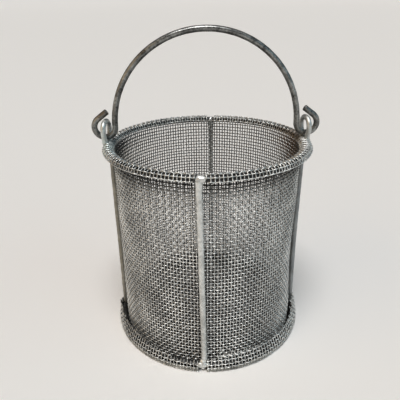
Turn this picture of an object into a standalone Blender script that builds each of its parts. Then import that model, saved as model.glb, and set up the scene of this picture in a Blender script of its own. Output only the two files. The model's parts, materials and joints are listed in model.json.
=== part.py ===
"""Galvanised wire-cloth strainer basket with a swinging bail, in metres, +Z up.

The origin lies on the floor under the basket's axis. The bail stands upright and
swings about an axis along X that runs through the two ears. Each piece of wire cloth
is a sheet of the cloth's real thickness, cut through between the wires that run one
way. The folded edges are closed sheets.
"""

import math

import bmesh
import bpy
from mathutils import Matrix, Vector

# Basket
BASKET_HEIGHT = 0.2040
WALL_RADIUS = 0.0915
CLOTH_THICKNESS = 0.0020
SEAT_DEPTH = 0.0004

# Wires of the cloth that run one way: upright in each wall panel, parallel in the bottom screen
CLOTH_WIRE = 0.0012
PANEL_UPRIGHTS = 92
SCREEN_PITCH = 0.003175
SCREEN_BORDER = 0.0030

# Frame bars
HOOP_BAR = 0.0056
RIB_BAR = 0.0056
RIB_END_ROUND = 0.0022
SEAM_TURN = math.radians(-6.0)
SIDE_RIB_TURN = math.radians(-3.0)

# Folded edges of the cloth
LIP_DEPTH = 0.0080
LIP_FLARE = 0.0015
HEM_HEIGHT = 0.0180
HEM_SLACK = 0.0013
HEM_CORNER = 0.0025
RIM_NOTCH_TOP = 0.0074
RIM_NOTCH_FOOT = 0.0110
RIM_NOTCH_INNER_DEPTH = 0.0037
HEM_NOTCH = 0.0105

# Ears
EAR_BAR = 0.0040
EAR_OPENING_RADIUS = 0.0064
EAR_OUTSET = 0.0020
EAR_TURN = math.radians(12.0)

# Bail
BAIL_BAR = 0.0056
BAIL_RISE = 0.0873
HOOK_OPENING_RADIUS = 0.0073
HOOK_OUTSET = 0.0010
HOOK_TURN = math.radians(53.0)
HOOK_MOUTH = 0.0025

# Clearances
TOUCH_GAP = 0.0003
BAIL_LIFT = 0.0008
HOOK_CLEARANCE = 0.0016

# Facets
TURN_STEPS = 72
FOLD_STEPS = 8
BAR_SIDES = 12
BAR_BEVEL_STEPS = 3
ROUND_STEPS = 3
ARCH_STEPS = 40
HOOK_STEPS = 22
EAR_STEPS = 14
FOOT_STEPS = 6
SMOOTH_ANGLE = math.radians(40.0)

# Finishes: colour, roughness and metallic value
CLOTH_ZINC = ((0.42, 0.43, 0.43), 0.50, 0.85)
BAR_ZINC = ((0.50, 0.51, 0.51), 0.46, 0.85)
BAIL_ZINC = ((0.30, 0.31, 0.31), 0.52, 0.85)

# Cloth and frame sizes that follow from the driving dimensions
WALL_INSIDE = WALL_RADIUS - CLOTH_THICKNESS
FOLD_INSIDE = HOOP_BAR / 2 + TOUCH_GAP
FOLD_OUTSIDE = FOLD_INSIDE + CLOTH_THICKNESS
HOOP_RADIUS = WALL_RADIUS + FOLD_INSIDE
RIM_HOOP_Z = BASKET_HEIGHT - FOLD_OUTSIDE
BASE_HOOP_Z = FOLD_OUTSIDE - SEAT_DEPTH
LIP_Z = BASKET_HEIGHT - LIP_DEPTH
RIB_RADIUS = WALL_RADIUS + TOUCH_GAP + RIB_BAR / 2
RIB_FOOT_Z = BASE_HOOP_Z + HOOP_BAR / 2 + TOUCH_GAP
RIB_HEAD_Z = RIM_HOOP_Z - HOOP_BAR / 2 - TOUCH_GAP
EDGE_INSIDE = max(HOOP_RADIUS + FOLD_INSIDE, RIB_RADIUS + RIB_BAR / 2 + TOUCH_GAP)
EDGE_OUTSIDE = EDGE_INSIDE + CLOTH_THICKNESS
HEM_INSIDE = EDGE_INSIDE + HEM_SLACK
HEM_OUTSIDE = HEM_INSIDE + CLOTH_THICKNESS
HEM_FLOOR = BASE_HOOP_Z - FOLD_INSIDE
HEM_CORNER_INSIDE = max(HEM_CORNER - CLOTH_THICKNESS, TOUCH_GAP)
CLOTH_OUTSIDE = max(EDGE_OUTSIDE + LIP_FLARE, HEM_OUTSIDE)
UPRIGHT_TURN = math.pi / PANEL_UPRIGHTS
WALL_SLOT = UPRIGHT_TURN * WALL_INSIDE - CLOTH_WIRE
SCREEN_SLOT = SCREEN_PITCH - CLOTH_WIRE
SCREEN_RADIUS = WALL_INSIDE - TOUCH_GAP

# Bail and ear sizes that follow: each hook closes over the crown of its ear
EAR_X = HOOP_RADIUS + EAR_OUTSET
PIVOT_Z = BASKET_HEIGHT + BAIL_LIFT + BAIL_BAR / 2
HOOK_X = EAR_X + HOOK_OUTSET
HOOK_RADIUS = HOOK_OPENING_RADIUS + BAIL_BAR / 2
HOOK_RISE = math.sqrt(HOOK_RADIUS ** 2 - HOOK_OUTSET ** 2)
HOOK_TAIL = (HOOK_OPENING_RADIUS * (1.0 + math.cos(HOOK_TURN)) - HOOK_MOUTH) / math.sin(HOOK_TURN)
BAIL_HALF_SPAN = HOOK_X - HOOK_RADIUS
CROWN_ROOM = HOOK_OPENING_RADIUS - HOOK_CLEARANCE - EAR_BAR / 2
CROWN_RISE = (CROWN_ROOM + HOOK_OUTSET * math.cos(HOOK_TURN)) / math.sin(HOOK_TURN)
EAR_RADIUS = EAR_OPENING_RADIUS + EAR_BAR / 2
EAR_CENTRE_Z = PIVOT_Z + HOOK_RISE + CROWN_RISE - EAR_RADIUS
EAR_FOOT_Y = (BAIL_BAR + EAR_BAR) / 2
EAR_FOOT_Z = RIM_HOOP_Z + HOOP_BAR / 2 + TOUCH_GAP

# Directions round the basket: the seams and their ribs, and the side ribs below the ears
FRONT = -math.pi / 2 + SEAM_TURN
REAR = math.pi / 2 + SEAM_TURN
RIGHT = SIDE_RIB_TURN
LEFT = math.pi + SIDE_RIB_TURN


def clear_scene():
    for item in list(bpy.data.objects):
        bpy.data.objects.remove(item, do_unlink=True)


def zinc_material(name, finish):
    colour, roughness, metallic = finish
    material = bpy.data.materials.new(name)
    material.use_nodes = True
    shader = material.node_tree.nodes["Principled BSDF"]
    shader.inputs["Base Color"].default_value = (*colour, 1.0)
    shader.inputs["Roughness"].default_value = roughness
    shader.inputs["Metallic"].default_value = metallic
    return material


def add_object(name, data, finish):
    item = bpy.data.objects.new(name, data)
    bpy.context.scene.collection.objects.link(item)
    data.materials.append(zinc_material(name + "_zinc", finish))
    return item


def mesh_from(bm, name):
    bmesh.ops.recalc_face_normals(bm, faces=bm.faces)
    mesh = bpy.data.meshes.new(name)
    bm.to_mesh(mesh)
    bm.free()
    mesh.shade_smooth()
    mesh.set_sharp_from_angle(angle=SMOOTH_ANGLE)
    return mesh


def arc(centre, radius, start, end, steps):
    """Points of an arc in a flat plane, from one angle to another."""
    points = []
    for step in range(steps + 1):
        angle = start + (end - start) * step / steps
        points.append((centre[0] + radius * math.cos(angle), centre[1] + radius * math.sin(angle)))
    return points


def cloth_profile():
    """Outline of the folded sheet as (radius, height): hem with its square corner, wall, rim fold, lip."""
    base = (HOOP_RADIUS, BASE_HOOP_Z)
    rim = (HOOP_RADIUS, RIM_HOOP_Z)
    corner = (HEM_OUTSIDE - HEM_CORNER, HEM_CORNER)
    corner_inside = (HEM_INSIDE - HEM_CORNER_INSIDE, HEM_FLOOR + HEM_CORNER_INSIDE)
    seat = math.acos(BASE_HOOP_Z / FOLD_OUTSIDE)
    half = FOLD_STEPS // 2
    points = [(HEM_INSIDE, HEM_HEIGHT)]
    points += arc(corner_inside, HEM_CORNER_INSIDE, 0.0, -math.pi / 2, half)
    points += arc(base, FOLD_INSIDE, -math.pi / 2, -math.pi, half)
    points += arc(rim, FOLD_INSIDE, math.pi, 0.0, FOLD_STEPS)
    points.append((EDGE_INSIDE + LIP_FLARE, LIP_Z))
    points.append((EDGE_OUTSIDE + LIP_FLARE, LIP_Z))
    points += arc(rim, FOLD_OUTSIDE, 0.0, math.pi, FOLD_STEPS)
    points += arc(base, FOLD_OUTSIDE, -math.pi, -math.pi / 2 - seat, half)
    points += arc(corner, HEM_CORNER, -math.pi / 2, 0.0, half)
    points.append((HEM_OUTSIDE, HEM_HEIGHT))
    return points


def cut_away(item, cuts):
    """Takes a cutter's shape out of an object."""
    cut = item.modifiers.new("cuts", "BOOLEAN")
    cut.operation = "DIFFERENCE"
    cut.solver = "EXACT"
    cut.object = cuts


def add_cutter(name, bm):
    """Hidden object that other pieces are cut with."""
    cutter = add_object(name, mesh_from(bm, name), CLOTH_ZINC)
    cutter.hide_render = True
    cutter.display_type = "WIRE"
    return cutter


def make_wall_panel(name, start, cuts):
    """Half of the wall, turned about Z from one seam to the other."""
    seam = TOUCH_GAP / WALL_RADIUS
    bm = bmesh.new()
    turn = Matrix.Rotation(start + seam / 2, 4, "Z")
    ring = [bm.verts.new(turn @ Vector((radius, 0.0, height))) for radius, height in cloth_profile()]
    edges = [bm.edges.new((ring[i - 1], ring[i])) for i in range(len(ring))]
    bmesh.ops.spin(
        bm, geom=ring + edges, cent=(0.0, 0.0, 0.0), axis=(0.0, 0.0, 1.0), angle=math.pi - seam,
        steps=TURN_STEPS // 2, use_merge=False, use_duplicate=False)
    ends = [edge for edge in bm.edges if edge.is_boundary]
    bmesh.ops.holes_fill(bm, edges=ends, sides=0)
    panel = add_object(name, mesh_from(bm, name), CLOTH_ZINC)
    cut_away(panel, cuts)
    return panel


def add_prism(bm, outline, half_width, turn):
    """Closed prism from a (radius, height) outline, as wide each side as half_width gives at a height."""
    near = [bm.verts.new(turn @ Vector((r, -half_width(z), z))) for r, z in outline]
    far = [bm.verts.new(turn @ Vector((r, half_width(z), z))) for r, z in outline]
    count = len(outline)
    bm.faces.new(near)
    bm.faces.new(list(reversed(far)))
    for i in range(count):
        j = (i + 1) % count
        bm.faces.new((near[j], near[i], far[i], far[j]))


def rim_notch_half_width(height):
    """The notch in the lip widens downwards, from the rim's top to the lip's free edge."""
    share = (BASKET_HEIGHT - height) / LIP_DEPTH
    return (RIM_NOTCH_TOP + (RIM_NOTCH_FOOT - RIM_NOTCH_TOP) * share) / 2


def hem_notch_half_width(height):
    """The gap in the hem is as wide at every height."""
    return HEM_NOTCH / 2


def wall_slot_half_width(height):
    """The gap between two upright wires is as wide at every height."""
    return WALL_SLOT / 2


def make_cloth_cuts():
    """Cutter for both panels: gaps between uprights, bare hoops at the seams, holes for the ears' feet."""
    bm = bmesh.new()
    overshoot = CLOTH_THICKNESS
    skin = WALL_RADIUS + TOUCH_GAP
    outside = CLOTH_OUTSIDE + overshoot
    inside = WALL_INSIDE - overshoot
    top = BASKET_HEIGHT + overshoot
    lip_foot = LIP_Z - overshoot
    hem_top = HEM_HEIGHT + overshoot
    inner_foot = BASKET_HEIGHT - RIM_NOTCH_INNER_DEPTH
    rim_outline = [
        (skin, lip_foot), (outside, lip_foot), (outside, top),
        (inside, top), (inside, inner_foot), (skin, inner_foot)]
    hem_outline = [(skin, -overshoot), (outside, -overshoot), (outside, hem_top), (skin, hem_top)]
    slot_outline = [(inside, RIB_FOOT_Z), (skin, RIB_FOOT_Z), (skin, RIB_HEAD_Z), (inside, RIB_HEAD_Z)]
    for angle in (FRONT, REAR):
        turn = Matrix.Rotation(angle, 4, "Z")
        add_prism(bm, rim_outline, rim_notch_half_width, turn)
        add_prism(bm, hem_outline, hem_notch_half_width, turn)
        for number in range(1, PANEL_UPRIGHTS):
            turn = Matrix.Rotation(angle + number * UPRIGHT_TURN, 4, "Z")
            add_prism(bm, slot_outline, wall_slot_half_width, turn)
    hole_radius = EAR_BAR / 2 + TOUCH_GAP
    hole_height = top - RIM_HOOP_Z
    for side in (-1, 1):
        ear = Matrix.Translation((side * EAR_X, 0.0, RIM_HOOP_Z + hole_height / 2))
        ear = ear @ Matrix.Rotation(side * EAR_TURN, 4, "Z")
        for foot in (-1, 1):
            bmesh.ops.create_cone(
                bm, cap_ends=True, segments=BAR_SIDES, radius1=hole_radius, radius2=hole_radius,
                depth=hole_height, matrix=ear @ Matrix.Translation((0.0, foot * EAR_FOOT_Y, 0.0)))
    return add_cutter("cloth_cuts", bm)


def make_hoop(name, height):
    bpy.ops.mesh.primitive_torus_add(
        major_radius=HOOP_RADIUS, minor_radius=HOOP_BAR / 2,
        major_segments=TURN_STEPS, minor_segments=BAR_SIDES)
    hoop = bpy.context.active_object
    hoop.name = name
    hoop.location = (0.0, 0.0, height)
    hoop.rotation_euler = (0.0, 0.0, SEAM_TURN)
    hoop.data.shade_smooth()
    hoop.data.materials.append(zinc_material(name + "_zinc", BAR_ZINC))
    return hoop


def make_rib(name, angle):
    """Round bar with rounded ends, standing outside the wall between the hoops."""
    radius = RIB_BAR / 2
    length = RIB_HEAD_Z - RIB_FOOT_Z
    bm = bmesh.new()
    bmesh.ops.create_cone(
        bm, cap_ends=True, segments=BAR_SIDES, radius1=radius, radius2=radius, depth=length)
    end_edges = [edge for edge in bm.edges if edge.calc_length() < radius]
    bmesh.ops.bevel(
        bm, geom=end_edges, offset=min(RIB_END_ROUND, radius - TOUCH_GAP), affect="EDGES",
        segments=ROUND_STEPS, profile=0.5, material=-1)
    rib = add_object(name, mesh_from(bm, name), BAR_ZINC)
    rib.location = (
        RIB_RADIUS * math.cos(angle), RIB_RADIUS * math.sin(angle), (RIB_HEAD_Z + RIB_FOOT_Z) / 2)
    rib.rotation_euler = (0.0, 0.0, angle)
    return rib


def make_screen_cuts():
    """Cutter for the bottom screen: the gaps between its parallel wires, inside a closed border."""
    bm = bmesh.new()
    reach = SCREEN_RADIUS - SCREEN_BORDER
    rows = int((reach - SCREEN_PITCH) / SCREEN_PITCH)
    for number in range(-rows, rows + 1):
        middle = number * SCREEN_PITCH
        far_side = abs(middle) + SCREEN_SLOT / 2
        length = 2.0 * math.sqrt(reach ** 2 - far_side ** 2)
        size = Matrix.Diagonal((SCREEN_SLOT, length, 2.0 * CLOTH_THICKNESS, 1.0))
        bmesh.ops.create_cube(bm, size=1.0, matrix=Matrix.Translation((middle, 0.0, BASE_HOOP_Z)) @ size)
    cuts = add_cutter("screen_cuts", bm)
    cuts.rotation_euler = (0.0, 0.0, SEAM_TURN)
    return cuts


def make_bottom_screen():
    """Disc of cloth inside the wall, level with the base hoop."""
    bm = bmesh.new()
    bmesh.ops.create_cone(
        bm, cap_ends=True, segments=TURN_STEPS, radius1=SCREEN_RADIUS, radius2=SCREEN_RADIUS,
        depth=CLOTH_THICKNESS)
    screen = add_object("bottom_screen", mesh_from(bm, "bottom_screen"), CLOTH_ZINC)
    screen.location = (0.0, 0.0, BASE_HOOP_Z)
    screen.rotation_euler = (0.0, 0.0, SEAM_TURN)
    cut_away(screen, make_screen_cuts())
    return screen


def make_bar(name, points, diameter, finish):
    """Bent round bar along a list of points, with closed ends."""
    curve = bpy.data.curves.new(name, "CURVE")
    curve.dimensions = "3D"
    curve.bevel_depth = diameter / 2
    curve.bevel_resolution = BAR_BEVEL_STEPS
    curve.use_fill_caps = True
    spline = curve.splines.new("POLY")
    spline.points.add(len(points) - 1)
    for point, place in zip(spline.points, points):
        point.co = (*place, 1.0)
    return add_object(name, curve, finish)


def ear_points():
    """Centre line of an ear in its own plane: foot, swelling leg, round eye, leg, foot."""
    leg = [(EAR_FOOT_Y, EAR_FOOT_Z - EAR_CENTRE_Z)]
    rise = BASKET_HEIGHT - EAR_CENTRE_Z
    for step in range(FOOT_STEPS):
        share = step / FOOT_STEPS
        swell = (1.0 - math.cos(math.pi * share)) / 2
        leg.append((EAR_FOOT_Y + (EAR_RADIUS - EAR_FOOT_Y) * swell, rise * (1.0 - share)))
    eye = arc((0.0, 0.0), EAR_RADIUS, 0.0, math.pi, EAR_STEPS)
    other_leg = [(-y, z) for y, z in reversed(leg)]
    return [(0.0, y, z) for y, z in leg + eye + other_leg]


def make_ear(name, side):
    """An ear on the rim hoop, its front leg turned a little outwards."""
    ear = make_bar(name, ear_points(), EAR_BAR, BAR_ZINC)
    ear.location = (side * EAR_X, 0.0, EAR_CENTRE_Z)
    ear.rotation_euler = (0.0, 0.0, side * EAR_TURN)
    return ear


def bail_points():
    """Centre line of the bail from tip to tip, measured from its hinge axis."""
    hook = arc((HOOK_X, HOOK_RISE), HOOK_RADIUS, HOOK_TURN, -math.pi, HOOK_STEPS)
    start = hook[0]
    tip = (start[0] - HOOK_TAIL * math.sin(HOOK_TURN), start[1] + HOOK_TAIL * math.cos(HOOK_TURN))
    end = [tip] + hook
    arch = []
    for step in range(1, ARCH_STEPS):
        angle = math.pi * step / ARCH_STEPS
        arch.append((BAIL_HALF_SPAN * math.cos(angle), HOOK_RISE + BAIL_RISE * math.sin(angle)))
    other_end = [(-x, z) for x, z in reversed(end)]
    return [(x, 0.0, z) for x, z in end + arch + other_end]


def make_bail():
    bail = make_bar("bail", bail_points(), BAIL_BAR, BAIL_ZINC)
    bail.location = (0.0, 0.0, PIVOT_Z)
    return bail


def main():
    clear_scene()
    cuts = make_cloth_cuts()
    make_wall_panel("wall_panel_right", FRONT, cuts)
    make_wall_panel("wall_panel_left", REAR, cuts)
    make_bottom_screen()
    make_hoop("rim_hoop", RIM_HOOP_Z)
    make_hoop("base_hoop", BASE_HOOP_Z)
    make_rib("rib_front", FRONT)
    make_rib("rib_rear", REAR)
    make_rib("rib_left", LEFT)
    make_rib("rib_right", RIGHT)
    make_ear("ear_left", -1)
    make_ear("ear_right", 1)
    make_bail()


main()
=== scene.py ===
"""Looks of a galvanised wire-cloth strainer basket: woven wires, zinc-coated bars and soldered seams.

Everything is in metres, in the frame's own place: +Z up, X along the bail's hinge axis.
"""

import json
import math

import bmesh
import bpy
import numpy as np
from mathutils import Matrix, Vector, noise


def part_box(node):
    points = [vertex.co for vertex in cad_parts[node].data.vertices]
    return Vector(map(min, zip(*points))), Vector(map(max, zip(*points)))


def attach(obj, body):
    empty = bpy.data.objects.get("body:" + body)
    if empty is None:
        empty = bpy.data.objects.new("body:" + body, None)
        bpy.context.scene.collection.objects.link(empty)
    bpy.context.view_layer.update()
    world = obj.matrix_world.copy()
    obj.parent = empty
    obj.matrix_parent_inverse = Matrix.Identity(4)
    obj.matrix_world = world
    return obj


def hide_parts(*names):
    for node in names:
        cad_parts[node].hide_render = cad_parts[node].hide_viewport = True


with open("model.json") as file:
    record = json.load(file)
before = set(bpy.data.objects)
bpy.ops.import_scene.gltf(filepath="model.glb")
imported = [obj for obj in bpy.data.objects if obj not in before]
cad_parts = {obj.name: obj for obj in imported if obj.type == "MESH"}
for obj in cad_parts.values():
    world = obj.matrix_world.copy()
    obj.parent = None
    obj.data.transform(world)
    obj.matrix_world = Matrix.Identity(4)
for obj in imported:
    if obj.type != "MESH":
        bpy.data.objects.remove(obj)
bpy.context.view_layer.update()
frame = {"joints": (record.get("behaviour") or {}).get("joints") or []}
DRAW = np.random.default_rng(8)


def bearing(node):
    """Direction of a node round the basket's axis."""
    low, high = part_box(node)
    return math.atan2(low.y + high.y, low.x + high.x)


# Sizes read from the frame
RIM_LOW, RIM_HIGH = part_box("rim_hoop")
BASE_LOW, BASE_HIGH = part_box("base_hoop")
SCREEN_LOW, SCREEN_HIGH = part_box("bottom_screen")
_, PANEL_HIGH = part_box("wall_panel_right")
RIB_LOW, RIB_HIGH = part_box("rib_front")
EAR_LOW, EAR_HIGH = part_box("ear_right")
BAIL_LOW, BAIL_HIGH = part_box("bail")
PIVOT = Vector(frame["joints"][0]["pos_m"])
BEARINGS = {name: bearing(name) for name in ("rib_front", "rib_rear", "rib_left", "rib_right")}
FRONT = BEARINGS["rib_front"]
REAR = FRONT + math.pi

HOOP_BAR = RIM_HIGH.z - RIM_LOW.z
HOOP_RADIUS = (RIM_HIGH.x - RIM_LOW.x - HOOP_BAR) / 2
RIM_HOOP_Z = (RIM_LOW.z + RIM_HIGH.z) / 2
BASE_HOOP_Z = (BASE_LOW.z + BASE_HIGH.z) / 2
CLOTH_THICKNESS = SCREEN_HIGH.z - SCREEN_LOW.z
SCREEN_RADIUS = SCREEN_HIGH.x
SCREEN_Z = (SCREEN_LOW.z + SCREEN_HIGH.z) / 2
RIM_TOP = PANEL_HIGH.z
RIB_BAR = RIB_HIGH.x - RIB_LOW.x
RIB_RADIUS = math.hypot(RIB_LOW.x + RIB_HIGH.x, RIB_LOW.y + RIB_HIGH.y) / 2
RIB_FOOT_Z = RIB_LOW.z
RIB_HEAD_Z = RIB_HIGH.z
EAR_X = (EAR_LOW.x + EAR_HIGH.x) / 2
BAIL_BAR = BAIL_HIGH.y - BAIL_LOW.y

# Folded cloth: fold about the hoops, lip, uneven hem and the gaps at the two seams
FOLD_RADIUS = RIM_TOP - RIM_HOOP_Z - CLOTH_THICKNESS / 2
EDGE_RADIUS = HOOP_RADIUS + FOLD_RADIUS
WALL_MIDDLE = HOOP_RADIUS - FOLD_RADIUS
CORNER_POINTS = 20
PROFILE_POINTS = 2400
LIP_DEPTH = 0.0064
LIP_FLARE = 0.0010
HEM_HEIGHT = 0.0188
HEM_SLACK = 0.0012
HEM_LEAN = 0.0052
HEM_BEND = 0.0170
HEM_BEND_LIMIT = 1.2
HEM_BEND_POWER = 1.6
HEM_RIB_ROOM = 0.65
HEM_RIB_WIDTH = 0.055
HEM_CORNER = 0.0005
HEM_RIPPLE = 0.0003
HEM_RIPPLES = 11.0
RIM_GAP_TOP = 0.0074
RIM_GAP_FOOT = 0.0110
RIM_GAP_INSIDE = 0.0037
HEM_GAP = 0.0076
SEAM_GAP = 0.0008

# Zinc that fills the hem's fold from outside: its rise above the corner, how far that wanders, and its lift
BAND_RISE = 0.0034
BAND_WANDER = 0.7
BAND_WAVES = 9.0
BAND_LIFT = -0.0005
BAND_STEPS_ROUND = 240
BAND_STEPS_UP = 10

# Cut ends of the wires at the hem, the lip and the seams, and the few that stray past the hem
HEM_CUT = (-0.0003, 0.0010)
LIP_CUT = 0.0004
SEAM_CUT = 0.0007
STRAY = 0.0035
STRAY_LEAST = 0.0015
STRAY_SHARE = 0.08
STRAY_LEAN = 0.25

# Weave: wire, its waves and the zinc that thickens it at the crossings
WIRE = 0.00105
UPRIGHT_CRIMP = 0.00034
LEVEL_CRIMP = 0.00070
SCREEN_CRIMP = 0.00052
ROW_ABOUT = 0.00355
COLUMNS = 92
COLUMN = math.pi / COLUMNS
STEPS_A_MESH = 3
END_ROOM = 0.3
FILLET = 0.08
SCREEN_MESH = 0.003175
SCREEN_TURN = math.radians(24.0)
LOOSENESS = 0.03
SWAY = 0.06
UPRIGHT_SWAY_RUN = 0.021
UPRIGHT_SWAY_STEP = 0.31
LEVEL_SWAYS = 7.0
LEVEL_SWAY_STEP = 0.4
PANE_THICKNESS = WIRE * 0.45
HALF_WEAVE = LEVEL_CRIMP + WIRE / 2 * (1.0 + FILLET)
HEM_MIDDLE = EDGE_RADIUS + HEM_SLACK
HEM_LIMIT = HEM_HEIGHT + STRAY

# Marks of use: direction, height, half width and half height of each dent, and its depth
DENTS = (
    (math.radians(-12.0), 0.092, 0.24, 0.048, 0.0026),
    (math.radians(-128.0), 0.120, 0.30, 0.040, 0.0009),
    (math.radians(70.0), 0.140, 0.35, 0.035, 0.0012),
    (math.radians(150.0), 0.070, 0.30, 0.050, 0.0014),
)
DENT_FADE = 0.02
# Slight ripple of the whole wall: its depth, and the waves of its two parts per angle and per height
RIPPLE_DEPTH = 0.0003
RIPPLE_WAVES = ((5.0, 28.0), (3.0, -41.0))
# Where the rim is pulled outwards by the ears, and where the hem is lower: direction, half width and amount
RIM_BULGES = ((0.0, 0.55, 0.0024), (math.pi, 0.45, 0.0010))
HEM_DIPS = (
    (math.radians(180.0), 0.36, 0.0085),
    (math.radians(225.0), 0.30, 0.0030),
    (math.radians(255.0), 0.33, 0.0078),
    (math.radians(-45.0), 0.40, 0.0030),
    (math.radians(60.0), 0.50, 0.0015),
)

# Bent bars: how finely they are swept, then their sizes, coats and clearances
SHARP_ANGLE = math.radians(50.0)
BAR_SIDES = 20
EAR_SIDES = 18
HOOP_STEPS = 200
RIB_STEPS = 64
HOOK_STEPS = 48
TAIL_STEPS = 6
ARCH_STEPS = 120
LEG_STEPS = 12
EYE_STEPS = 36
EAR_BAR = 0.0040
EAR_OPENING_RADIUS = 0.0064
EAR_TURN = math.radians(12.0)
EAR_LEG_SPREAD = 0.15
EAR_SPREAD_POWER = 0.7
EAR_COAT = 0.00045
EAR_ROOM = 0.00065
BAIL_COAT = 0.00020
BAIL_ROUGH = 0.00010
EAR_FOOT_Y = (BAIL_BAR + EAR_BAR) / 2 + BAIL_COAT + EAR_COAT + EAR_ROOM
HOOK_OPENING_RADIUS = 0.0073
HOOK_OUTSET = 0.0010
HOOK_TURN = math.radians(53.0)
HOOK_MOUTH = 0.0025
HOOK_RADIUS = HOOK_OPENING_RADIUS + BAIL_BAR / 2 - BAIL_COAT
HOOK_RISE = math.sqrt(HOOK_RADIUS ** 2 - HOOK_OUTSET ** 2)
HOOK_TAIL = (HOOK_OPENING_RADIUS * (1.0 + math.cos(HOOK_TURN)) - HOOK_MOUTH) / math.sin(HOOK_TURN)
HOOK_X = EAR_X + HOOK_OUTSET
BAIL_HALF_SPAN = HOOK_X - HOOK_RADIUS
BAIL_RISE = BAIL_HIGH.z - BAIL_BAR / 2 - BAIL_COAT - PIVOT.z - HOOK_RISE
EAR_RADIUS = EAR_OPENING_RADIUS + EAR_BAR / 2
EAR_CENTRE_Z = EAR_HIGH.z - EAR_BAR / 2 - EAR_RADIUS
EAR_FOOT_Z = EAR_LOW.z
RIGHT_RIB_BEND = 0.0010
FRONT_RIB_LEAN = 0.0015
RIB_HEAD_RUN_IN = 0.0030
RIB_SWELL = 0.25
RIB_SWELL_REACH = 0.010
RIB_END_ROUND = 0.0014
EAR_END_ROUND = 0.0006
BAIL_END_ROUND = 0.0005

# Lumps in the zinc coats: depth and grain
HOOP_ROUGH = (0.00018, 0.004)
RIB_ROUGH = (0.00022, 0.006)
EAR_ROUGH = (0.00016, 0.003)
BAND_ROUGH = (0.00012, 0.003)
SOLDER_ROUGH = (0.0006, 0.0035)
BAIL_GRAIN = 0.005

# Solder at the ears: half sizes, and how far its middle lies under the rim's top
EAR_SOLDER = (0.0044, 0.0088, 0.0022)
EAR_SOLDER_DROP = 0.0020
# Solder on the front and rear ribs: how far out from the hoops, height, half sizes and coat
RIB_SOLDER = (
    ("head", 0.0004, RIM_HOOP_Z - 0.0001, (0.0034, 0.0056, 0.0033), "solder_zinc"),
    ("foot", 0.0014, RIB_FOOT_Z - 0.0010, (0.0034, 0.0037, 0.0062), "bar_zinc"),
    ("smear", 0.0030, RIB_FOOT_Z - 0.0008, (0.0022, 0.0078, 0.0030), "bar_zinc"),
)

# Zinc coats: shares of patches and mottling, where their blend is darkest and lightest, gloss and pits
PATCH_SHARE = 0.55
PATCH_DETAIL = 3.0
MOTTLE_SHARE = 0.45
MOTTLE_DETAIL = 4.0
NOISE_ROUGHNESS = 0.6
DARKEST_AT = 0.38
LIGHTEST_AT = 0.62
GLOSS_GRAIN = (0.3, 0.7)
PIT_SIZE = 0.0011
PIT_DETAIL = 2.0
PIT_DEPTH = 0.0002
PIT_STRENGTH = 0.3
# Stains and painted light tints: the share of their reach that is full, and how the grain makes them ragged
TINT_SPOT_HEART = 0.3
TINT_SPOT_GRAIN = (0.35, 0.60)
TINT_SPOT_LEAST = 0.25

# Painted shadow on the wall under the lip: where it starts, where it is darkest, and what it leaves of the
# colour
LIP_SHADOW_FOOT = RIM_TOP - 0.026
LIP_SHADOW_HEAD = RIM_TOP - 0.012
LIP_SHADOW_LEAVES = 0.12
# How far a wire faces inwards to take the painted inside shade, and to be spared by the painted shadow under
# the lip
INSIDE_FACING = (-0.5, 0.0)
SPARED_FACING = (-0.4, 0.1)
# Painted inside shade lessened on the wall at the seams: across them, from full to none, and the share of
# colour it keeps
ACROSS_SEAMS = (-math.sin(FRONT), math.cos(FRONT), 0.0)
SEAM_SHADE_LIFT_EDGES = (0.028, 0.042)
SEAM_SHADE_LIFT = 0.8

# Light: direction that it comes from, strength, spread and colour
LIGHTS = (
    ("ceiling_light", (-0.05, -0.35, 1.0), 1.56, math.radians(30.0), (1.0, 0.99, 0.98)),
    ("left_light", (-1.0, -0.50, 0.35), 0.48, math.radians(60.0), (1.0, 0.71, 0.38)),
    ("right_light", (1.0, -0.50, 0.35), 0.37, math.radians(60.0), (0.52, 0.85, 1.0)),
)
# Light of the room, the tone that is seen beyond the floor, and the floor
ROOM_COLOUR = (0.80, 0.80, 0.82, 1.0)
ROOM_STRENGTH = 0.092
BACKDROP_COLOUR = (0.535, 0.527, 0.511, 1.0)
FLOOR_COLOUR = (0.90, 0.885, 0.87, 1.0)
FLOOR_ROUGHNESS = 0.8
FLOOR_REACH = 40.0
FLOOR_SPREAD = 2.0
FLOOR_RISE = FLOOR_REACH / 4

# Camera at the photograph's viewing angle
CAMERA_PLACE = (-0.0218, -0.4158, 0.3279)
CAMERA_YAW = math.radians(-2.01)
CAMERA_TILT = math.radians(65.42)
CAMERA_ROLL = -0.0139
CAMERA_LENS = 39.49
CAMERA_SENSOR = 36.0
CAMERA_NEAR = 0.01


def cloth_profile():
    """Middle line of the folded cloth and its side direction: hem, square base fold, wall, rim fold, lip."""
    half_turn = np.linspace(0.0, np.pi, 2 * CORNER_POINTS)
    quarter = np.linspace(0.0, np.pi / 2, CORNER_POINTS)
    radius = np.concatenate((
        [HEM_MIDDLE],
        HEM_MIDDLE - HEM_CORNER * (1.0 - np.cos(quarter)),
        HOOP_RADIUS - FOLD_RADIUS * np.sin(quarter),
        HOOP_RADIUS - FOLD_RADIUS * np.cos(half_turn),
        [EDGE_RADIUS + LIP_FLARE]))
    height = np.concatenate((
        [HEM_LIMIT],
        HALF_WEAVE + HEM_CORNER * (1.0 - np.sin(quarter)),
        BASE_HOOP_Z - (BASE_HOOP_Z - HALF_WEAVE) * np.cos(quarter),
        RIM_HOOP_Z + FOLD_RADIUS * np.sin(half_turn),
        [RIM_TOP - LIP_DEPTH]))
    run = np.concatenate(([0.0], np.cumsum(np.hypot(np.diff(radius), np.diff(height)))))
    fine = np.linspace(0.0, run[-1], PROFILE_POINTS)
    radius = np.interp(fine, run, radius)
    height = np.interp(fine, run, height)
    along_r = np.gradient(radius, fine)
    along_z = np.gradient(height, fine)
    length = np.hypot(along_r, along_z)
    return fine, radius, height, along_z / length, -along_r / length


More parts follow.
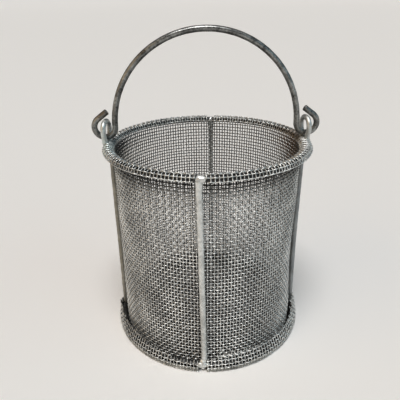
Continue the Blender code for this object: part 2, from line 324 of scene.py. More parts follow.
RUN, RUN_RADIUS, RUN_HEIGHT, SIDE_R, SIDE_Z = cloth_profile()
CLOTH_END = RUN[-1]
RIM_TOP_RUN = RUN[np.argmax(RUN_HEIGHT)]
CORNER_RUN = HEM_LIMIT - HALF_WEAVE - HEM_CORNER
BASE_RUN = CORNER_RUN + HEM_CORNER * math.pi / 2 + HEM_MIDDLE - HEM_CORNER - HOOP_RADIUS
ABOVE_BASE_RUN = BASE_RUN + 0.016

# Level wires: the first lies at the lip's edge, and one lies along the hem's corner
FIRST_ROW = CLOTH_END - WIRE / 2
FOLD_ROW = CORNER_RUN + HEM_CORNER * math.pi / 4
ROW = (FIRST_ROW - FOLD_ROW) / round((FIRST_ROW - FOLD_ROW) / ROW_ABOUT)
ROWS = int((FIRST_ROW - STRAY) / ROW) + 1

# Spots where zinc clogs some openings: direction, run, how far the openings spread round both, and tries
CLOGGED_SPOTS = (
    (math.radians(186.0), RIM_TOP_RUN, 0.12, 0.004, 8),
    (math.radians(2.0), RIM_TOP_RUN, 0.08, 0.004, 6),
    (FRONT, ABOVE_BASE_RUN, 0.10, 0.005, 10),
    (REAR, ABOVE_BASE_RUN, 0.12, 0.005, 14),
)


def turned_from(angle, direction):
    """Angle from a direction, between minus and plus half a turn."""
    return np.angle(np.exp(1j * (angle - direction)))


def dents(angle, height):
    """How far the wall is pushed in by handling."""
    ripple = 1.0
    for round_it, up_it in RIPPLE_WAVES:
        ripple = ripple * np.sin(round_it * angle + up_it * height)
    depth = RIPPLE_DEPTH * (1.0 + ripple)
    for direction, level, half_width, half_height, deepest in DENTS:
        across = turned_from(angle, direction) / half_width
        depth = depth + deepest * np.exp(-across ** 2 - ((height - level) / half_height) ** 2)
    foot = np.clip((height - HEM_LIMIT) / DENT_FADE, 0.0, 1.0)
    head = np.clip((RIM_TOP - LIP_DEPTH - height) / DENT_FADE, 0.0, 1.0)
    return depth * foot * head


def rim_bulge(angle, radius, height):
    """How far the outer half of the rim fold stands out near the ears."""
    reach = 0.0
    for direction, half_width, furthest in RIM_BULGES:
        reach = reach + furthest * np.exp(-(turned_from(angle, direction) / half_width) ** 2)
    outer = np.clip((radius - WALL_MIDDLE) / (2.0 * FOLD_RADIUS), 0.0, 1.0)
    return reach * outer * (height > RIM_TOP - 2.0 * LIP_DEPTH)


def hem_lean(run, angle):
    """How far the hem's upper part bends in to the wall: less where it is low or passes a side rib."""
    room = np.clip((HEM_BEND - hem_run(angle)) / (HEM_BEND - STRAY), 0.0, 1.0)
    for side in ("rib_left", "rib_right"):
        room = room - HEM_RIB_ROOM * np.exp(-(turned_from(angle, BEARINGS[side]) / HEM_RIB_WIDTH) ** 2)
    bend = np.clip((HEM_BEND - run) / (HEM_BEND - hem_run(angle)), 0.0, HEM_BEND_LIMIT)
    return HEM_LEAN * room * bend ** HEM_BEND_POWER


def on_cloth(run, angle, lift):
    """Points on the folded cloth: run along its profile, angle round the basket, lift off its middle."""
    radius = np.interp(run, RUN, RUN_RADIUS) + lift * np.interp(run, RUN, SIDE_R)
    height = np.interp(run, RUN, RUN_HEIGHT) + lift * np.interp(run, RUN, SIDE_Z)
    radius = radius - dents(angle, height) - hem_lean(run, angle) + rim_bulge(angle, radius, height)
    return np.stack((radius * np.cos(angle), radius * np.sin(angle), height), axis=-1)


def hem_run(angle):
    """Run at which the uneven hem starts, at an angle round the basket."""
    run = STRAY + HEM_RIPPLE * np.sin(HEM_RIPPLES * angle)
    for direction, half_width, depth in HEM_DIPS:
        run = run + depth * np.exp(-(turned_from(angle, direction) / half_width) ** 2)
    return run


def seam_gap(run):
    """Half the gap between the two panels at a run: wide in the hem and the rim, closed on the wall."""
    radius = np.interp(run, RUN, RUN_RADIUS)
    height = np.interp(run, RUN, RUN_HEIGHT)
    low = height < (BASE_HOOP_Z + RIM_HOOP_Z) / 2
    in_hem = low & (radius > WALL_MIDDLE + CLOTH_THICKNESS)
    in_rim = ~low & (height > RIM_TOP - np.where(radius > HOOP_RADIUS, 1.0, RIM_GAP_INSIDE))
    share = np.clip((RIM_TOP - height) / LIP_DEPTH, 0.0, 1.0)
    rim_gap = RIM_GAP_TOP + (RIM_GAP_FOOT - RIM_GAP_TOP) * share
    return np.where(in_hem, HEM_GAP, np.where(in_rim, rim_gap, SEAM_GAP)) / 2


def steps_between(first, last, mesh, crossing):
    """Both ends, and the steps between them that fall on the crossings and a third of a mesh apart."""
    step = mesh / STEPS_A_MESH
    low = math.ceil((first - crossing) / step + END_ROOM)
    high = math.floor((last - crossing) / step - END_ROOM)
    return np.concatenate(([first], crossing + step * np.arange(low, high + 1), [last]))


def upright_wires(start, columns):
    """Wires that run up the wall of one panel, over and under the level wires."""
    wires = []
    for column in columns:
        angle = start + (column + 0.5 + DRAW.normal(0.0, LOOSENESS)) * COLUMN
        edge = hem_run(angle)
        first = edge - DRAW.uniform(*HEM_CUT)
        if DRAW.random() < STRAY_SHARE:
            first = max(0.0, edge - DRAW.uniform(STRAY_LEAST, STRAY))
        last = CLOTH_END - DRAW.uniform(0.0, LIP_CUT)
        lean = DRAW.normal(0.0, STRAY_LEAN)
        run = steps_between(first, last, ROW, FIRST_ROW)
        off_seam = min(angle - start, start + math.pi - angle)
        run = run[off_seam * np.interp(run, RUN, RUN_RADIUS) > seam_gap(run)]
        wave = np.pi * ((FIRST_ROW - run) / ROW + column)
        lift = UPRIGHT_CRIMP * np.cos(wave) + lean * np.maximum(edge - run, 0.0)
        sway = SWAY * COLUMN * np.sin(run / UPRIGHT_SWAY_RUN + column * UPRIGHT_SWAY_STEP)
        wires.append((on_cloth(run, angle + sway, lift), 1.0 + FILLET * np.cos(2.0 * wave)))
    return wires


def level_wires(start, rows):
    """Wires that run round one panel, under and over the upright wires, and stop at the uneven hem."""
    wires = []
    for row in rows:
        run = FIRST_ROW - row * ROW + DRAW.normal(0.0, LOOSENESS) * ROW
        radius = np.interp(run, RUN, RUN_RADIUS)
        first = start + (seam_gap(run) + DRAW.uniform(0.0, SEAM_CUT)) / radius
        last = start + math.pi - (seam_gap(run) + DRAW.uniform(0.0, SEAM_CUT)) / radius
        angle = steps_between(first, last, COLUMN, start + COLUMN / 2)
        wave = np.pi * ((angle - start) / COLUMN - 0.5 + row)
        sway = SWAY * ROW * np.sin(LEVEL_SWAYS * angle + row * LEVEL_SWAY_STEP)
        points = on_cloth(run + sway, angle, -LEVEL_CRIMP * np.cos(wave))
        thickness = 1.0 + FILLET * np.cos(2.0 * wave)
        held = np.flatnonzero(run + sway > hem_run(angle))
        for stretch in np.split(held, np.flatnonzero(np.diff(held) > 1) + 1):
            if len(stretch) > STEPS_A_MESH:
                wires.append((points[stretch], thickness[stretch]))
    return wires


def screen_wires(turn, flip):
    """One set of parallel wires across the bottom screen."""
    wires = []
    count = int(SCREEN_RADIUS / SCREEN_MESH)
    for number in range(-count, count + 1):
        off = number * SCREEN_MESH
        half = math.sqrt(SCREEN_RADIUS ** 2 - off ** 2)
        along = steps_between(-half, half, SCREEN_MESH, 0.0)
        wave = np.pi * (along / SCREEN_MESH + number)
        x = along * math.cos(turn) - off * math.sin(turn)
        y = along * math.sin(turn) + off * math.cos(turn)
        height = SCREEN_Z + flip * SCREEN_CRIMP * np.cos(wave)
        wires.append((np.stack((x, y, height), axis=-1), 1.0 + FILLET * np.cos(2.0 * wave)))
    return wires


def wire_mesh(name, wires):
    """Mesh of round wires along their paths, with closed ends."""
    curve = bpy.data.curves.new(name, "CURVE")
    curve.dimensions = "3D"
    curve.bevel_depth = WIRE / 2
    curve.bevel_resolution = 1
    curve.use_fill_caps = True
    for points, thickness in wires:
        spline = curve.splines.new("POLY")
        spline.points.add(len(points) - 1)
        spline.points.foreach_set("co", np.column_stack((points, np.ones(len(points)))).ravel())
        spline.points.foreach_set("radius", thickness)
    drawn = bpy.data.objects.new(name, curve)
    mesh = bpy.data.meshes.new_from_object(drawn)
    bpy.data.objects.remove(drawn)
    return mesh


def mesh_from(bm, name):
    """Finished mesh, smooth but for its sharp edges."""
    mesh = bpy.data.meshes.new(name)
    bm.to_mesh(mesh)
    bm.free()
    mesh.shade_smooth()
    mesh.set_sharp_from_angle(angle=SHARP_ANGLE)
    return mesh


def add_piece(name, mesh, material, body, slot, *nodes):
    """Puts a finished mesh in the scene, on its body, in place of the CAD nodes that it stands for."""
    piece = bpy.data.objects.new(name, mesh)
    bpy.context.scene.collection.objects.link(piece)
    mesh.materials.clear()
    mesh.materials.append(material)
    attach(piece, body)
    if nodes:
        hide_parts(*nodes)
    return piece


def roughen(bm, depth, grain):
    """Lumps of the zinc coat: moves each point in or out along its normal."""
    bm.normal_update()
    moves = [(vert, vert.normal * depth * noise.noise(vert.co / grain)) for vert in bm.verts]
    for vert, move in moves:
        vert.co += move


def sweep_bar(path, diameter, sides, end_round):
    """Round bar with softened ends: a ring is extruded from point to point and turned with each bend."""
    bm = bmesh.new()
    heading = (path[1] - path[0]).normalized()
    place = Matrix.Translation(path[0]) @ heading.to_track_quat("Z", "X").to_matrix().to_4x4()
    bmesh.ops.create_circle(bm, cap_ends=True, segments=sides, radius=diameter / 2, matrix=place)
    edges = list(bm.edges)
    ends = list(edges)
    for number in range(1, len(path)):
        made = bmesh.ops.extrude_edge_only(bm, edges=edges)["geom"]
        ring = [item for item in made if isinstance(item, bmesh.types.BMVert)]
        edges = [item for item in made if isinstance(item, bmesh.types.BMEdge) and item.is_boundary]
        bmesh.ops.translate(bm, vec=path[number] - path[number - 1], verts=ring)
        following = path[min(number + 1, len(path) - 1)]
        new_heading = (following - path[number - 1]).normalized()
        turn = heading.rotation_difference(new_heading).to_matrix()
        bmesh.ops.rotate(bm, cent=path[number], matrix=turn, verts=ring)
        heading = new_heading
    bmesh.ops.edgeloop_fill(bm, edges=edges)
    ends += edges
    bmesh.ops.bevel(
        bm, geom=ends, offset=end_round, affect="EDGES", segments=2, profile=0.5, material=-1)
    bmesh.ops.recalc_face_normals(bm, faces=bm.faces)
    return bm


def arc(centre, radius, start, end, steps):
    """Points of an arc in a flat plane, from one angle to another."""
    points = []
    for step in range(steps + 1):
        angle = start + (end - start) * step / steps
        points.append((centre[0] + radius * math.cos(angle), centre[1] + radius * math.sin(angle)))
    return points


def bail_path():
    """Centre line of the bail from tip to tip: hook, arch, hook."""
    hook = arc((HOOK_X, HOOK_RISE), HOOK_RADIUS, HOOK_TURN, -math.pi, HOOK_STEPS)
    tail = []
    for step in range(TAIL_STEPS):
        reach = HOOK_TAIL * (1.0 - step / TAIL_STEPS)
        tail.append((
            hook[0][0] - reach * math.sin(HOOK_TURN), hook[0][1] + reach * math.cos(HOOK_TURN)))
    end = tail + hook
    arch = []
    for step in range(1, ARCH_STEPS):
        angle = math.pi * step / ARCH_STEPS
        arch.append((BAIL_HALF_SPAN * math.cos(angle), HOOK_RISE + BAIL_RISE * math.sin(angle)))
    other_end = [(-x, z) for x, z in reversed(end)]
    return [Vector((x, 0.0, PIVOT.z + z)) for x, z in end + arch + other_end]


def ear_place(side):
    """Where an ear stands: its own plane is turned a little about Z."""
    return Matrix.Translation((side * EAR_X, 0.0, EAR_CENTRE_Z)) @ Matrix.Rotation(side * EAR_TURN, 4, "Z")


def ear_path(side):
    """Centre line of an ear: foot, swelling leg, round eye, leg, foot."""
    leg = [(EAR_FOOT_Y, EAR_FOOT_Z - EAR_CENTRE_Z)]
    rise = RIM_TOP - EAR_CENTRE_Z
    for step in range(LEG_STEPS):
        share = step / LEG_STEPS
        swell = (1.0 - math.cos(math.pi * share)) / 2
        leg.append((EAR_FOOT_Y + (EAR_RADIUS - EAR_FOOT_Y) * swell, rise * (1.0 - share)))
    eye = arc((0.0, 0.0), EAR_RADIUS, 0.0, math.pi, EYE_STEPS)
    other_leg = [(-y, z) for y, z in reversed(leg)]
    return [ear_place(side) @ Vector((0.0, y, z)) for y, z in leg + eye + other_leg]


def ear_bar(side):
    """An ear whose legs are thickened along the hinge by the zinc that runs down them."""
    bm = sweep_bar(ear_path(side), EAR_BAR + 2.0 * EAR_COAT, EAR_SIDES, EAR_END_ROUND)
    back = ear_place(side).inverted()
    for vert in bm.verts:
        local = back @ vert.co
        low = min(1.0, max(0.0, -local.z / (EAR_CENTRE_Z - RIM_TOP)))
        local.x *= 1.0 + EAR_LEG_SPREAD * low ** EAR_SPREAD_POWER
        vert.co = ear_place(side) @ local
    return bm


def rib_bar(angle, run_in, swell, bend, lean):
    """A rib that runs into its solder at the head, with thickened ends, bent in by handling and leaning."""
    out = Vector((math.cos(angle), math.sin(angle), 0.0))
    across = Vector((-out.y, out.x, 0.0))
    foot = out * RIB_RADIUS + Vector((0.0, 0.0, RIB_FOOT_Z))
    rise = Vector((0.0, 0.0, RIB_HEAD_Z + run_in - RIB_FOOT_Z))
    path = [foot + rise * step / RIB_STEPS for step in range(RIB_STEPS + 1)]
    bm = sweep_bar(path, RIB_BAR, BAR_SIDES, RIB_END_ROUND)
    for vert in bm.verts:
        share = (vert.co.z - RIB_FOOT_Z) / rise.z
        off_end = rise.z * min(share, 1.0 - share)
        size = 1.0 + swell * math.exp(-(off_end / RIB_SWELL_REACH) ** 2)
        axis = Vector((foot.x, foot.y, vert.co.z))
        move = across * lean * (1.0 - 2.0 * share) - out * bend * math.sin(math.pi * share)
        vert.co = axis + (vert.co - axis) * size + move
    return bm


def hoop_bar(height):
    """A closed ring of round bar at a height."""
    bm = bmesh.new()
    place = Matrix.Translation((HOOP_RADIUS, 0.0, height)) @ Matrix.Rotation(math.pi / 2, 4, "X")
    ring = bmesh.ops.create_circle(
        bm, cap_ends=False, segments=BAR_SIDES, radius=HOOP_BAR / 2, matrix=place)
    bmesh.ops.spin(
        bm, geom=ring["verts"] + list(bm.edges), cent=(0.0, 0.0, 0.0), axis=(0.0, 0.0, 1.0),
        angle=2.0 * math.pi, steps=HOOP_STEPS, use_merge=True, use_duplicate=False)
    bmesh.ops.recalc_face_normals(bm, faces=bm.faces)
    return bm


def base_band(start):
    """Zinc that fills the square fold of one panel's hem from outside, with a wandering upper edge."""
    margin = HEM_GAP / 2 / EDGE_RADIUS
    bm = bmesh.new()
    bmesh.ops.create_grid(bm, x_segments=BAND_STEPS_ROUND, y_segments=BAND_STEPS_UP, size=1.0)
    for vert in bm.verts:
        angle = start + margin + (math.pi - 2.0 * margin) * (vert.co.x + 1.0) / 2
        wander = noise.noise((BAND_WAVES * math.cos(angle), BAND_WAVES * math.sin(angle), 0.0))
        top = CORNER_RUN - BAND_RISE * (1.0 + BAND_WANDER * wander)
        run = BASE_RUN + (top - BASE_RUN) * (vert.co.y + 1.0) / 2
        vert.co = on_cloth(run, angle, BAND_LIFT)
    bmesh.ops.recalc_face_normals(bm, faces=bm.faces)
    bmesh.ops.solidify(bm, geom=list(bm.faces), thickness=WIRE / 2)
    bmesh.ops.recalc_face_normals(bm, faces=bm.faces)
    roughen(bm, *BAND_ROUGH)
    return bm


def zinc_lump(place, half_sizes, turn):
    """Rounded lump of solder, flattened to its half sizes and turned about Z."""
    bm = bmesh.new()
    matrix = Matrix.Translation(place) @ Matrix.Rotation(turn, 4, "Z") @ Matrix.Diagonal((*half_sizes, 1.0))
    bmesh.ops.create_icosphere(bm, subdivisions=4, radius=1.0, matrix=matrix)
    roughen(bm, *SOLDER_ROUGH)
    return bm


def filled_meshes(start):
    """Thin panes of zinc in some openings of one panel, gathered round the clogged spots."""
    cells = set()
    for direction, run, half_width, half_run, tries in CLOGGED_SPOTS:
        for _ in range(tries):
            angle = direction + DRAW.normal(0.0, half_width)
            place = run + DRAW.normal(0.0, half_run)
            column = math.floor(turned_from(angle, start) / COLUMN)
            row = math.floor((FIRST_ROW - place) / ROW)
            if 0 <= column < COLUMNS - 1 and 0 <= row < ROWS - 1:
                cells.add((column, row))
    bm = bmesh.new()
    for column, row in sorted(cells):
        angle = start + (column + 1.0) * COLUMN
        run = FIRST_ROW - (row + 0.5) * ROW
        off_seam = min(angle - start, start + math.pi - angle)
        if run < hem_run(angle) + ROW or off_seam * EDGE_RADIUS < seam_gap(run) + ROW:
            continue
        middle = Vector(on_cloth(run, angle, 0.0))
        up = (Vector(on_cloth(run + ROW / 4, angle, 0.0)) - middle).normalized()
        across = (Vector(on_cloth(run, angle + COLUMN / 4, 0.0)) - middle).normalized()
        side = up.cross(across).normalized()
        turn = Matrix((across, up, side)).transposed().to_4x4()
        width = COLUMN * math.hypot(middle.x, middle.y)
        size = Matrix.Diagonal((width, ROW, PANE_THICKNESS, 1.0))
        bmesh.ops.create_cube(bm, size=1.0, matrix=Matrix.Translation(middle) @ turn @ size)
    bmesh.ops.recalc_face_normals(bm, faces=bm.faces)
    return bm


def link(tree, source, target):
    """Joins two sockets of a node tree."""
    tree.links.new(source, target)


def math_node(tree, operation, first, second):
    """Maths node: each input is a socket or a number."""
    node = tree.nodes.new("ShaderNodeMath")
    node.operation = operation
    for socket, value in zip(node.inputs, (first, second)):
        if isinstance(value, (int, float)):
            socket.default_value = value
        else:
            link(tree, value, socket)
    return node.outputs[0]


def noise_node(tree, place, size, detail):
    """Noise whose grain is about the given size in metres."""
    node = tree.nodes.new("ShaderNodeTexNoise")
    node.inputs["Scale"].default_value = 1.0 / size
    node.inputs["Detail"].default_value = detail
    node.inputs["Roughness"].default_value = NOISE_ROUGHNESS
    link(tree, place, node.inputs["Vector"])
    return node.outputs["Fac"]


def map_range(tree, value, low, high, to_low, to_high):
    """Value taken from one range to another, and held at its ends."""
    node = tree.nodes.new("ShaderNodeMapRange")
    for name, number in (("From Min", low), ("From Max", high), ("To Min", to_low), ("To Max", to_high)):
        node.inputs[name].default_value = number
    link(tree, value, node.inputs["Value"])
    return node.outputs["Result"]


def vector_node(tree, operation, first, second):
    """Vector maths node: the first input is a socket, the second a socket, a vector or nothing."""
    node = tree.nodes.new("ShaderNodeVectorMath")
    node.operation = operation
    link(tree, first, node.inputs[0])
    if isinstance(second, tuple):
        node.inputs[1].default_value = second
    elif second is not None:
        link(tree, second, node.inputs[1])
    return node


def tinted_at_spot(tree, colour, place, grain, tint_spot):
    """Colour with a ragged tint round a point, used for stains and painted light tints: its centre, reach,
    strength and colour.
    """
    centre, reach, strength, tint = tint_spot
    away = vector_node(tree, "DISTANCE", place, centre).outputs["Value"]
    near = map_range(tree, away, reach, TINT_SPOT_HEART * reach, 0.0, 1.0)
    ragged = map_range(tree, grain, *TINT_SPOT_GRAIN, TINT_SPOT_LEAST, 1.0)
    amount = math_node(tree, "MULTIPLY", math_node(tree, "MULTIPLY", near, ragged), strength)
    mix = tree.nodes.new("ShaderNodeMix")
    mix.data_type = "RGBA"
    link(tree, amount, mix.inputs["Factor"])
    link(tree, colour, mix.inputs["A"])
    mix.inputs["B"].default_value = (*tint, 1.0)
    return mix.outputs["Result"]


def with_painted_shade(tree, colour, place, normal, shade):
    """Colour with painted shade where it faces the basket's axis and a painted shadow outside under the lip,
    below the rim's top; the inside shade is lessened near the seams.
    """
    level = vector_node(tree, "MULTIPLY", place, (1.0, 1.0, 0.0)).outputs["Vector"]
    outwards = vector_node(tree, "NORMALIZE", level, None).outputs["Vector"]
    facing = vector_node(tree, "DOT_PRODUCT", outwards, normal).outputs["Value"]
    height = vector_node(tree, "DOT_PRODUCT", place, (0.0, 0.0, 1.0)).outputs["Value"]
    radius = vector_node(tree, "LENGTH", level, None).outputs["Value"]
    # painted shade on the sides of wires that face the basket's axis
    inside = map_range(tree, facing, *INSIDE_FACING, shade, 1.0)
    # painted shadow of the lip on the outside of the wall
    under_lip = map_range(tree, height, LIP_SHADOW_FOOT, LIP_SHADOW_HEAD, 1.0, LIP_SHADOW_LEAVES)
    off_wall = map_range(tree, radius, WALL_MIDDLE + HALF_WEAVE, WALL_MIDDLE + 2.0 * HALF_WEAVE, 0.0, 1.0)
    inwards = map_range(tree, facing, *SPARED_FACING, 1.0, 0.0)
    under_lip = math_node(tree, "MAXIMUM", under_lip, math_node(tree, "MAXIMUM", off_wall, inwards))
    # no painted shade or shadow above the rim hoop's middle
    rim_top_unshaded = map_range(tree, height, RIM_HOOP_Z - HOOP_BAR, RIM_HOOP_Z, 0.0, 1.0)
    # painted inside shade lessened on the wall near the seams
    off_seam = vector_node(tree, "DOT_PRODUCT", outwards, ACROSS_SEAMS).outputs["Value"]
    off_seam = math_node(tree, "ABSOLUTE", off_seam, 0.0)
    at_seam = map_range(tree, off_seam, *SEAM_SHADE_LIFT_EDGES, SEAM_SHADE_LIFT, 0.0)
    at_seam = math_node(tree, "MULTIPLY", at_seam, math_node(tree, "SUBTRACT", 1.0, off_wall))
    shaded = math_node(tree, "MULTIPLY", inside, under_lip)
    unshaded = math_node(tree, "MAXIMUM", rim_top_unshaded, math_node(tree, "MULTIPLY", at_seam, under_lip))
    node = vector_node(tree, "SCALE", colour, None)
    link(tree, math_node(tree, "MAXIMUM", shaded, unshaded), node.inputs["Scale"])
    return node.outputs["Vector"]


def zinc(name, dark, light, gloss, metallic, patch, mottle, inside_shade, tint_spots):
    """Galvanised coat: patches and mottling of grey, stains and painted light tints, painted shade inside
    and under the lip, uneven gloss and pits.
    """
    material = bpy.data.materials.new(name)
    material.use_nodes = True
    tree = material.node_tree
    shader = tree.nodes["Principled BSDF"]
    shader.inputs["Metallic"].default_value = metallic
    coordinates = tree.nodes.new("ShaderNodeTexCoord")
    place = coordinates.outputs["Object"]
    patches = noise_node(tree, place, patch, PATCH_DETAIL)
    specks = noise_node(tree, place, mottle, MOTTLE_DETAIL)
    pits = noise_node(tree, place, PIT_SIZE, PIT_DETAIL)
    blend = math_node(
        tree, "ADD", math_node(tree, "MULTIPLY", patches, PATCH_SHARE),
        math_node(tree, "MULTIPLY", specks, MOTTLE_SHARE))
    ramp = tree.nodes.new("ShaderNodeValToRGB")
    ramp.color_ramp.elements[0].position = DARKEST_AT
    ramp.color_ramp.elements[0].color = (*dark, 1.0)
    ramp.color_ramp.elements[1].position = LIGHTEST_AT
    ramp.color_ramp.elements[1].color = (*light, 1.0)
    link(tree, blend, ramp.inputs["Fac"])
    colour = ramp.outputs["Color"]
    # painted shade inside and painted shadow under the lip, for the coats that take them
    if inside_shade < 1.0:
        colour = with_painted_shade(tree, colour, place, coordinates.outputs["Normal"], inside_shade)
    for tint_spot in tint_spots:
        colour = tinted_at_spot(tree, colour, place, specks, tint_spot)
    link(tree, colour, shader.inputs["Base Color"])
    link(tree, map_range(tree, specks, *GLOSS_GRAIN, *gloss), shader.inputs["Roughness"])
    bump = tree.nodes.new("ShaderNodeBump")
    bump.inputs["Strength"].default_value = PIT_STRENGTH
    bump.inputs["Distance"].default_value = PIT_DEPTH
    link(tree, pits, bump.inputs["Height"])
    link(tree, bump.outputs["Normal"], shader.inputs["Normal"])
    return material


# Stains, and painted light tints for the warm left and cool right light: centre, reach, strength and colour
RIGHT_RUST = ((0.084, 0.020, 0.193), 0.034, 0.8, (0.23, 0.145, 0.08))
LEFT_WHITE = ((-0.098, -0.018, 0.203), 0.028, 0.75, (0.66, 0.74, 0.73))
LEFT_TIP_RUST = ((-0.096, 0.0, 0.232), 0.014, 0.55, (0.16, 0.11, 0.08))
# painted light: warm tint on the left, cool tint on the right, from the side lights
LEFT_WARM_LIGHT_TINT = ((-0.097, 0.0, 0.10), 0.16, 0.6, (0.30, 0.27, 0.19))
RIGHT_COOL_LIGHT_TINT = ((0.097, 0.0, 0.10), 0.16, 0.5, (0.25, 0.29, 0.32))

# Coats: dark and light grey, roughness, metallic, sizes of patches and mottling, what the painted inside
# shade leaves, stains and painted light tints
COATS = (
    ("cloth_zinc", (0.48, 0.485, 0.48), (0.91, 0.915, 0.90), (0.26, 0.46), 0.75, 0.03, 0.004, 0.31,
     (RIGHT_RUST, LEFT_WHITE)),
    # base band: dark coat, painted shade along the base's lower edge
    ("band_zinc", (0.14, 0.14, 0.13), (0.40, 0.40, 0.38), (0.40, 0.60), 0.5, 0.03, 0.004, 1.0, ()),
    # bottom screen: near-black coat, painted shade of the basket's inside bottom, with some dirt
    ("screen_zinc", (0.02, 0.02, 0.019), (0.07, 0.07, 0.067), (0.5, 0.7), 0.4, 0.03, 0.004, 1.0, ()),
    ("bar_zinc", (0.50, 0.51, 0.50), (0.86, 0.87, 0.86), (0.36, 0.56), 0.75, 0.02, 0.003, 0.12,
     (LEFT_WHITE,)),
    # hoops: near-black coat, painted shade of the hoops inside the folds
    ("hoop_zinc", (0.05, 0.05, 0.05), (0.18, 0.18, 0.178), (0.40, 0.60), 0.6, 0.02, 0.003, 0.6, ()),
    ("bail_zinc", (0.15, 0.15, 0.148), (0.44, 0.445, 0.435), (0.24, 0.42), 0.75, 0.008, 0.0018, 1.0,
     (LEFT_TIP_RUST,)),
    # side ribs: darker coat as painted shade of the sides that get less light, with the painted light tints
    ("side_zinc", (0.26, 0.26, 0.255), (0.54, 0.54, 0.53), (0.40, 0.60), 0.6, 0.02, 0.003, 1.0,
     (LEFT_WARM_LIGHT_TINT, RIGHT_COOL_LIGHT_TINT)),
    ("solder_zinc", (0.52, 0.53, 0.53), (0.80, 0.81, 0.80), (0.34, 0.50), 0.6, 0.01, 0.002, 1.0, ()),
)


def make_cloth(coats):
    """Both panels and the bottom screen as woven wires, with the zinc that clogs some openings."""
    half_columns = COLUMNS // 2
    half_rows = ROWS // 2
    for side, start in (("right", FRONT), ("left", REAR)):
        node = "wall_panel_" + side
        parts = {
            "uprights_near": upright_wires(start, range(half_columns)),
            "uprights_far": upright_wires(start, range(half_columns, COLUMNS)),
            "levels_upper": level_wires(start, range(half_rows)),
            "levels_lower": level_wires(start, range(half_rows, ROWS)),
        }
        for part, wires in parts.items():
            name = "wall_" + side + "_" + part
            add_piece(name, wire_mesh(name, wires), coats["cloth_zinc"], "basket", "wire_cloth", node)
        name = "wall_" + side + "_filled_meshes"
        panes = mesh_from(filled_meshes(start), name)
        add_piece(name, panes, coats["cloth_zinc"], "basket", "wire_cloth", node)
        name = "base_band_" + side
        band = mesh_from(base_band(start), name)
        add_piece(name, band, coats["band_zinc"], "basket", "wire_cloth", node)
    for name, turn, flip in (("screen_wires_long", 0.0, 1.0), ("screen_wires_cross", math.pi / 2, -1.0)):
        mesh = wire_mesh(name, screen_wires(SCREEN_TURN + turn, flip))
        add_piece(name, mesh, coats["screen_zinc"], "basket", "wire_cloth", "bottom_screen")


def make_bars(coats):
    """Hoops, ribs, ears and bail, each in its CAD node's place, and the solder round them."""
    for name, height in (("rim_hoop", RIM_HOOP_Z), ("base_hoop", BASE_HOOP_Z)):
        bm = hoop_bar(height)
        roughen(bm, *HOOP_ROUGH)
        add_piece(name + "_coated", mesh_from(bm, name), coats["hoop_zinc"], "basket", "frame_bar", name)
    ribs = (
        ("rib_front", RIB_HEAD_RUN_IN, RIB_SWELL, 0.0, FRONT_RIB_LEAN, "bar_zinc"),
        ("rib_rear", RIB_HEAD_RUN_IN, RIB_SWELL, 0.0, 0.0, "bar_zinc"),
        ("rib_left", 0.0, 0.0, 0.0, 0.0, "side_zinc"),
        ("rib_right", 0.0, 0.0, RIGHT_RIB_BEND, 0.0, "side_zinc"))
    for name, run_in, swell, bend, lean, coat in ribs:
        bm = rib_bar(BEARINGS[name], run_in, swell, bend, lean)
        roughen(bm, *RIB_ROUGH)
        add_piece(name + "_coated", mesh_from(bm, name), coats[coat], "basket", "frame_bar", name)
    for name, side in (("ear_left", -1), ("ear_right", 1)):
        bm = ear_bar(side)
        roughen(bm, *EAR_ROUGH)
        add_piece(name + "_coated", mesh_from(bm, name), coats["bar_zinc"], "basket", "frame_bar", name)
        lump = zinc_lump((side * EAR_X, 0.0, RIM_TOP - EAR_SOLDER_DROP), EAR_SOLDER, 0.0)
        add_piece(name + "_solder", mesh_from(lump, name), coats["bar_zinc"], "basket", "frame_bar")
    for name, angle in (("front", FRONT), ("rear", REAR)):
        out = Vector((math.cos(angle), math.sin(angle), 0.0))
        for end, off_hoop, height, half_sizes, coat in RIB_SOLDER:
            piece = "rib_" + name + "_" + end + "_solder"
            place = out * (HOOP_RADIUS + off_hoop) + Vector((0.0, 0.0, height))
            lump = zinc_lump(place, half_sizes, angle)
            add_piece(piece, mesh_from(lump, piece), coats[coat], "basket", "frame_bar")
    thickness = BAIL_BAR + 2.0 * BAIL_COAT - 3.0 * BAIL_ROUGH
    bm = sweep_bar(bail_path(), thickness, BAR_SIDES, BAIL_END_ROUND)
    roughen(bm, BAIL_ROUGH, BAIL_GRAIN)
    add_piece("bail_coated", mesh_from(bm, "bail"), coats["bail_zinc"], "bail", "bail_bar", "bail")


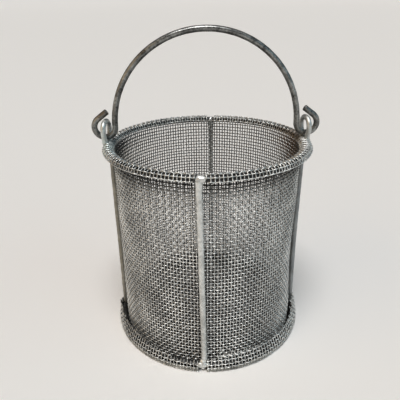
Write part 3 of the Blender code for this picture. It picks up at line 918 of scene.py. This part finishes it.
def make_stage():
    """Pale floor and a backdrop of its tone, with soft light: from above, warm left and cool right."""
    bm = bmesh.new()
    bmesh.ops.create_grid(bm, x_segments=1, y_segments=1, size=FLOOR_REACH)
    raised = bmesh.ops.extrude_edge_only(bm, edges=list(bm.edges))["geom"]
    raised = [item for item in raised if isinstance(item, bmesh.types.BMVert)]
    bmesh.ops.scale(bm, vec=(FLOOR_SPREAD, FLOOR_SPREAD, 1.0), verts=raised)
    bmesh.ops.translate(bm, vec=(0.0, 0.0, FLOOR_RISE), verts=raised)
    bmesh.ops.recalc_face_normals(bm, faces=bm.faces)
    if sum(face.normal.z for face in bm.faces) < 0.0:
        bmesh.ops.reverse_faces(bm, faces=bm.faces)
    floor = bpy.data.objects.new("floor", mesh_from(bm, "floor"))
    pale = bpy.data.materials.new("pale_floor")
    pale.use_nodes = True
    shader = pale.node_tree.nodes["Principled BSDF"]
    shader.inputs["Base Color"].default_value = FLOOR_COLOUR
    shader.inputs["Roughness"].default_value = FLOOR_ROUGHNESS
    floor.data.materials.append(pale)
    bpy.context.scene.collection.objects.link(floor)
    for name, source, strength, spread, colour in LIGHTS:
        lamp = bpy.data.lights.new(name, "SUN")
        lamp.energy = strength
        lamp.angle = spread
        lamp.color = colour
        item = bpy.data.objects.new(name, lamp)
        item.location = source
        item.rotation_euler = Vector(source).to_track_quat("Z", "Y").to_euler()
        bpy.context.scene.collection.objects.link(item)
    world = bpy.data.worlds.new("room")
    world.use_nodes = True
    tree = world.node_tree
    room = tree.nodes["Background"]
    room.inputs["Color"].default_value = ROOM_COLOUR
    room.inputs["Strength"].default_value = ROOM_STRENGTH
    backdrop = tree.nodes.new("ShaderNodeBackground")
    backdrop.inputs["Color"].default_value = BACKDROP_COLOUR
    seen = tree.nodes.new("ShaderNodeLightPath")
    either = tree.nodes.new("ShaderNodeMixShader")
    link(tree, seen.outputs["Is Camera Ray"], either.inputs["Fac"])
    link(tree, room.outputs["Background"], either.inputs[1])
    link(tree, backdrop.outputs["Background"], either.inputs[2])
    link(tree, either.outputs["Shader"], tree.nodes["World Output"].inputs["Surface"])
    bpy.context.scene.world = world
    bpy.context.scene.view_settings.view_transform = "Standard"
    bpy.context.scene.view_settings.look = "High Contrast"


def make_camera():
    """Camera at its fitted place, turned, tilted and rolled."""
    data = bpy.data.cameras.new("camera")
    data.lens = CAMERA_LENS
    data.sensor_width = CAMERA_SENSOR
    data.clip_start = CAMERA_NEAR
    camera = bpy.data.objects.new("camera", data)
    camera.matrix_world = (
        Matrix.Translation(CAMERA_PLACE) @ Matrix.Rotation(CAMERA_YAW, 4, "Z")
        @ Matrix.Rotation(CAMERA_TILT, 4, "X") @ Matrix.Rotation(CAMERA_ROLL, 4, "Z"))
    bpy.context.scene.collection.objects.link(camera)
    bpy.context.scene.camera = camera


ZINC_COATS = {coat[0]: zinc(*coat) for coat in COATS}
make_cloth(ZINC_COATS)
make_bars(ZINC_COATS)
make_stage()
make_camera()
